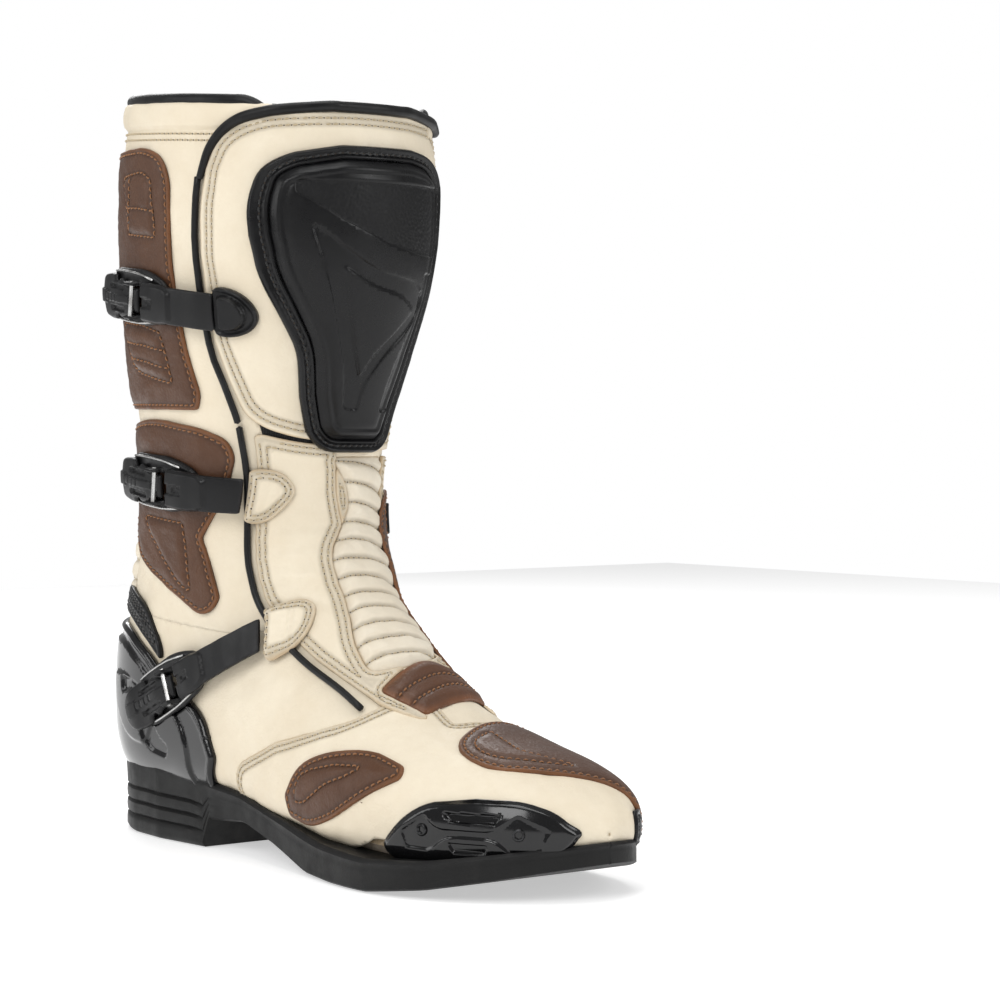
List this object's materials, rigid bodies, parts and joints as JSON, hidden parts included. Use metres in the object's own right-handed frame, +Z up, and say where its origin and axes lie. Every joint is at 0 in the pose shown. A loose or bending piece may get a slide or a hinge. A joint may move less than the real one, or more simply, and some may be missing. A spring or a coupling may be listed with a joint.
{
  "type": "motorcycle touring boot",
  "caption": "Tall right motorcycle touring boot in cream and brown leather with moulded armour, lever buckles, a hinged shin flap and a flexing ankle.",
  "frame": {"origin": "on the heel's flat tread face, under the ankle, on the boot's centre line", "axes": "+X towards the toe, +Y medial, -Y lateral (buckles), +Z up"},
  "size_m": [0.3206, 0.1374, 0.3476],
  "materials": {
    "cream_leather": "smooth grain, semi-matte",
    "brown_leather": "waxed grain, satin",
    "black_tpu": "moulded, satin gloss",
    "sole_rubber": "matte black rubber",
    "black_textile": "woven lining and padded binding",
    "foam": "padding",
    "board": "pressed fibre board",
    "steel": "plain"
  },
  "bodies": {
    "foot": {"outsole": "sole_rubber", "shank": "steel", "insole_board": "board", "footbed": "black_textile", "vamp": "cream_leather", "quarter_lateral": "cream_leather", "quarter_medial": "cream_leather", "heel_counter": "board", "toe_puff": "board", "vamp_patch": "brown_leather", "toe_panel": "brown_leather", "instep_patch": "brown_leather", "slider_screw_rear": "steel", "slider_screw_front": "steel", "toe_slider": "black_tpu", "toe_cap": "black_tpu", "heel_cup": "black_tpu", "achilles_guard": "black_tpu", "liner": "black_textile", "ankle_leather": "cream_leather", "accordion_rear": "cream_leather", "accordion_front": "cream_leather", "instep_lateral": "cream_leather", "instep_medial": "cream_leather", "ankle_patch": "brown_leather", "vent_plug": "black_tpu", "instep_piping": "black_textile", "buckle_base_low": "black_tpu", "strap_loop_low": "cream_leather"},
    "shaft": {"calf_leather": "cream_leather", "gusset": "black_textile", "collar_foam": "foam", "collar_binding": "black_textile", "calf_plate": "black_tpu", "calf_panel": "brown_leather", "calf_guard": "brown_leather", "rear_band": "black_tpu", "ankle_pad": "brown_leather", "buckle_base_top": "black_tpu", "buckle_base_mid": "black_tpu", "strap_loop_mid": "cream_leather"},
    "flap": {"flap_leather": "cream_leather", "flap_binding": "black_textile", "flap_piping": "black_textile", "shin_rim": "black_tpu", "shin_plate": "black_tpu", "strap_anchor": "black_tpu"},
    "lever_top": {"lever_top": "black_tpu", "pin_top": "steel"},
    "strap_top": {"strap_top": "black_tpu"},
    "lever_mid": {"lever_mid": "black_tpu", "pin_mid": "steel"},
    "strap_mid": {"strap_mid": "black_tpu"},
    "lever_low": {"lever_low": "black_tpu", "pin_low": "steel"},
    "strap_low": {"strap_low": "black_tpu"}
  },
  "joints": [
    {"name": "ankle_flex", "type": "hinge", "parent": "foot", "child": "shaft", "pos_m": [-0.01, 0, 0.118], "axis": [0, 1, 0], "range_deg": [-5, 15], "stiffness_Nm_per_rad": 15, "deforming": ["liner", "ankle_leather", "accordion_rear", "accordion_front", "instep_lateral", "instep_medial", "ankle_patch", "vent_plug", "instep_piping", "ankle_pad"]},
    {"name": "flap_open", "type": "hinge", "parent": "shaft", "child": "flap", "pos_m": [0.04, 0.038, 0.188], "axis": [0.1168, 0.0825, 0.9897], "range_deg": [0, 35], "deforming": ["flap_leather", "flap_binding"]},
    {"name": "lever_top_open", "type": "hinge", "parent": "shaft", "child": "lever_top", "pos_m": [-0.01143, -0.06943, 0.24826], "axis": [0.1283, 0, 0.9917], "range_deg": [0, 100]},
    {"name": "strap_top_lift", "type": "hinge", "parent": "flap", "child": "strap_top", "pos_m": [0.04072, -0.05917, 0.24131], "axis": [0.1283, 0, 0.9917], "range_deg": [0, 30]},
    {"name": "lever_mid_open", "type": "hinge", "parent": "shaft", "child": "lever_mid", "pos_m": [-0.00856, -0.05966, 0.16414], "axis": [0.1057, 0, 0.9944], "range_deg": [0, 100]},
    {"name": "strap_mid_lift", "type": "hinge", "parent": "shaft", "child": "strap_mid", "pos_m": [0.0414, -0.0409, 0.16], "axis": [0.1057, 0, 0.9944], "range_deg": [0, 30]},
    {"name": "lever_low_open", "type": "hinge", "parent": "foot", "child": "lever_low", "pos_m": [-0.00509, -0.05579, 0.07255], "axis": [-0.4029, 0, 0.9152], "range_deg": [0, 100]},
    {"name": "strap_low_lift", "type": "hinge", "parent": "foot", "child": "strap_low", "pos_m": [0.0544, -0.0429, 0.1018], "axis": [-0.4029, 0, 0.9152], "range_deg": [0, 30]}
  ],
  "couplings": [
    {"joint": "strap_top_lift", "follows": "lever_top_open", "ratio": 0.3},
    {"joint": "strap_mid_lift", "follows": "lever_mid_open", "ratio": 0.3},
    {"joint": "strap_low_lift", "follows": "lever_low_open", "ratio": 0.3}
  ]
}
